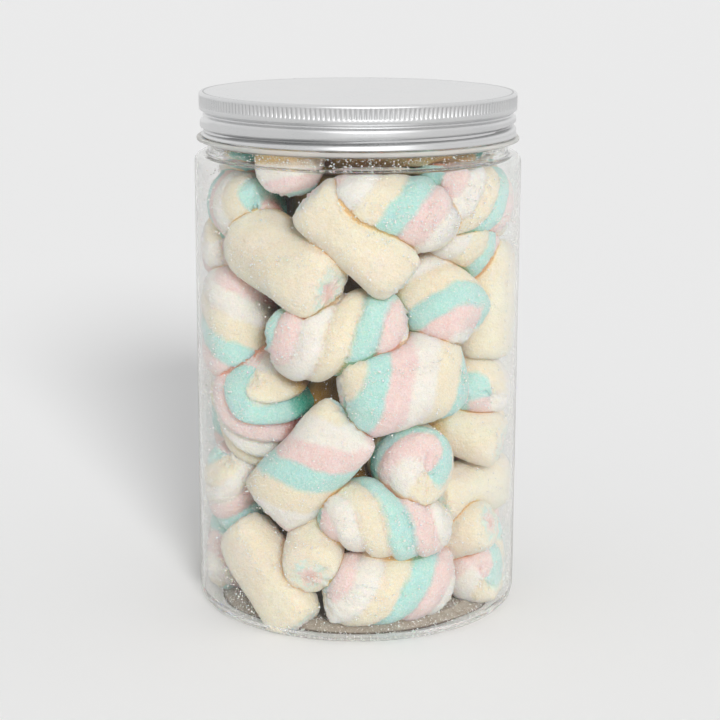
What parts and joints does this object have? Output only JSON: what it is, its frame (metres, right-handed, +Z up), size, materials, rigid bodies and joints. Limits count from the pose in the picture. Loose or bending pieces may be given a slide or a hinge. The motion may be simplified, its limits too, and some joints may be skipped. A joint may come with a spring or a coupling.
{
  "type": "jar of marshmallows",
  "caption": "Round clear plastic jar with a screwed aluminium lid, filled to the neck with twisted pastel marshmallows and cream marshmallow rolls.",
  "frame": {"origin": "centre of the jar's foot, on the surface that it stands on", "axes": "+Z up the jar's axis, +X to the right and -Y towards the viewer of the front"},
  "size_m": [0.1, 0.1, 0.1604],
  "materials": {
    "clear_plastic": "clear, glossy, colourless",
    "lid_aluminium": "satin, with a bright rolled edge",
    "marshmallow": "soft, matte, dusted with fine sugar"
  },
  "bodies": {
    "root": {"jar": "clear_plastic", "lid": "lid_aluminium", "marshmallows": "marshmallow"}
  },
  "joints": []
}
